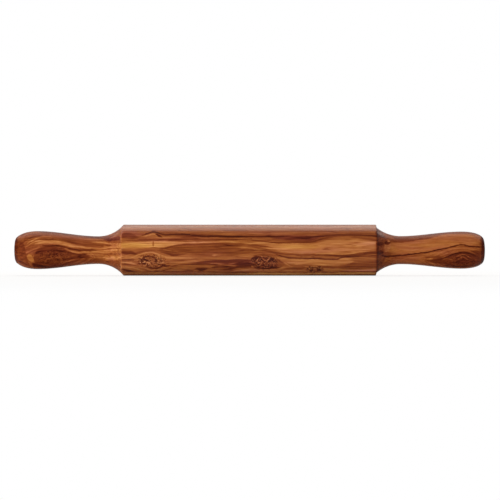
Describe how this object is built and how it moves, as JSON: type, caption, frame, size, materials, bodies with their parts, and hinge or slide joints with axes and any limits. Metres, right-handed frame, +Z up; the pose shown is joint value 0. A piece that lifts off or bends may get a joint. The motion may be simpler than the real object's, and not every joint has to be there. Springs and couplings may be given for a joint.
{
  "type": "french rolling pin",
  "caption": "Turned olive-wood rolling pin for rolling out dough, with a straight barrel and slim shaped handles cut from the same stick.",
  "frame": {"origin": "centre of the pin on its own axis, halfway between the tips of the handles", "axes": "+X along the axis of turning towards the handle with the small square step at its root, which is on the right in the picture; +Y away from the viewer of the picture, +Z up"},
  "size_m": [0.46, 0.05, 0.05],
  "materials": {
    "olive_wood": "oiled satin, sanded smooth"
  },
  "bodies": {
    "root": {"rolling_pin": "olive_wood"}
  },
  "joints": []
}
